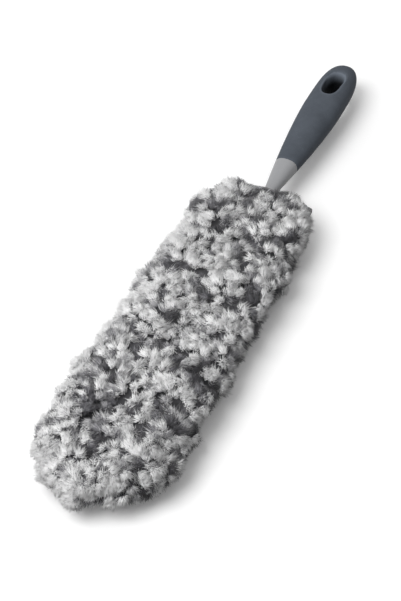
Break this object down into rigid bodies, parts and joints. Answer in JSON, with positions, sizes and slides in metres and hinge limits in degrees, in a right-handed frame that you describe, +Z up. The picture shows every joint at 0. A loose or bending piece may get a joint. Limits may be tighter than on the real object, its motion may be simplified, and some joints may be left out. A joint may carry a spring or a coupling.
{
  "type": "microfiber hand duster",
  "caption": "Flat hand duster: mottled grey tufted pile sleeve on a flexible frame, with a slim neck and a soft grip that has a hanging hole.",
  "frame": {"origin": "on the ground under the middle of the duster's length, where it lies on its pile", "axes": "+Y from the tip of the head to the end of the grip, +X across the head, +Z up"},
  "size_m": [0.0944, 0.4528, 0.0423],
  "materials": {
    "slate_rubber": "matte",
    "grey_plastic": "satin",
    "white_nylon": "satin",
    "pin_steel": "satin",
    "grey_knit": "matte",
    "white_elastic": "matte",
    "mottled_pile": "matte"
  },
  "bodies": {
    "handle": {"grip_cover": "slate_rubber", "handle_core": "grey_plastic", "flex_frame": "white_nylon", "front_frame_pin": "pin_steel", "rear_frame_pin": "pin_steel"},
    "sleeve": {"upper_backing": "grey_knit", "lower_backing": "grey_knit", "edge_seam": "grey_knit", "mouth_hem": "grey_knit", "mouth_elastic": "white_elastic", "upper_pile": "mottled_pile", "lower_pile": "mottled_pile", "left_edge_pile": "mottled_pile", "right_edge_pile": "mottled_pile", "tip_pile": "mottled_pile"}
  },
  "joints": [
    {"name": "sleeve_slide", "type": "slide", "parent": "handle", "child": "sleeve", "axis": [0, -1, 0], "range_m": [0, 0.28]}
  ]
}
